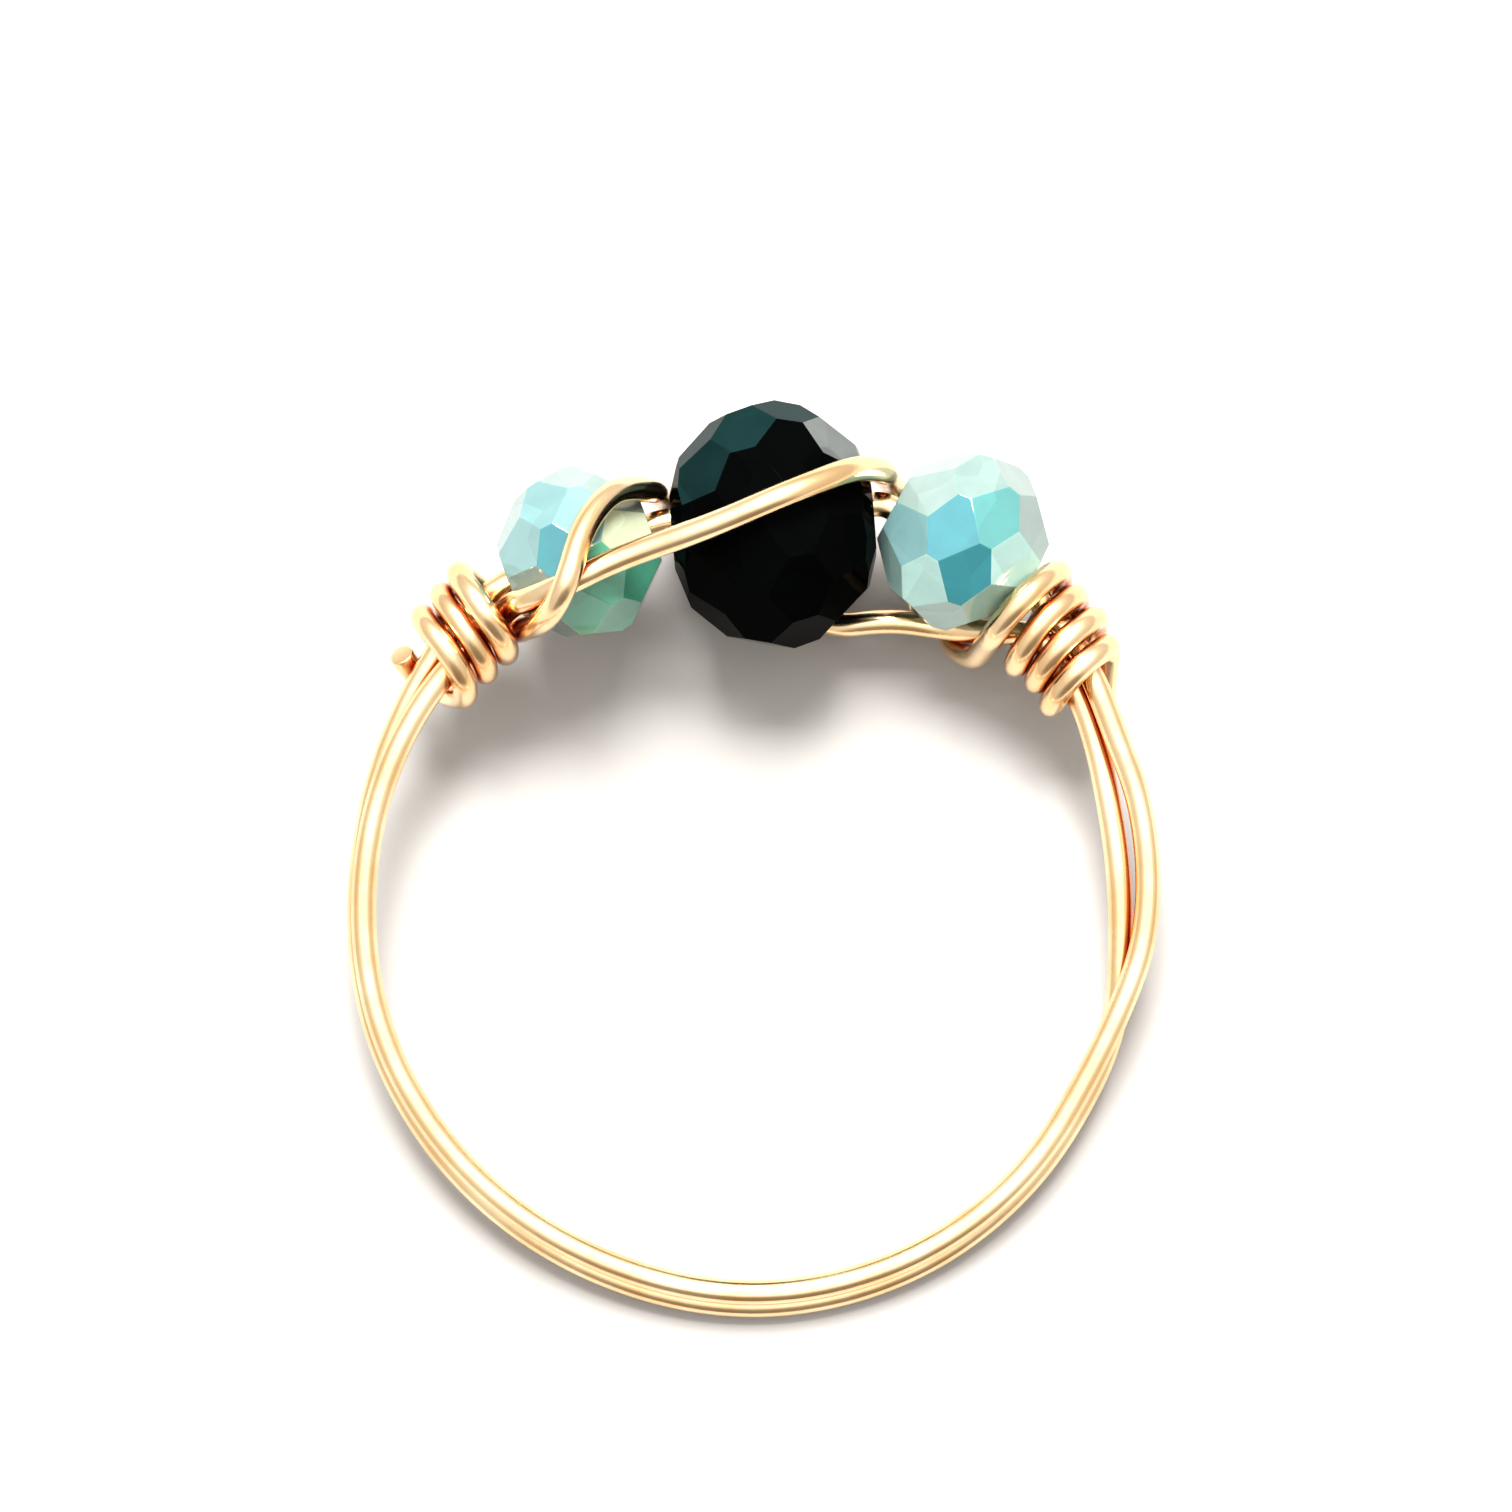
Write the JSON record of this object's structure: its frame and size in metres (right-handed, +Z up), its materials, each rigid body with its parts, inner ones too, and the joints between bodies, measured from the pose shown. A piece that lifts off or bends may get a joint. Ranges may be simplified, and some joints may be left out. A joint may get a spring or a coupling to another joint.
{
  "type": "wire wrapped ring",
  "caption": "Finger ring wound from one round wire, with a large dark faceted bead between smaller pale blue ones and a wire coil on each side.",
  "frame": {"origin": "on the surface the ring lies on, below the middle of its bounding box", "axes": "+Z up from the surface, +Y towards the beads, +X towards the bead that the wire passes beneath"},
  "size_m": [0.0194, 0.0216, 0.0071],
  "materials": {
    "gold_wire": "polished pale gold",
    "black_glass": "glossy black facets",
    "blue_glass": "glossy pale turquoise facets"
  },
  "bodies": {
    "root": {"wire": "gold_wire", "black_bead": "black_glass", "left_bead": "blue_glass", "right_bead": "blue_glass"}
  },
  "joints": []
}
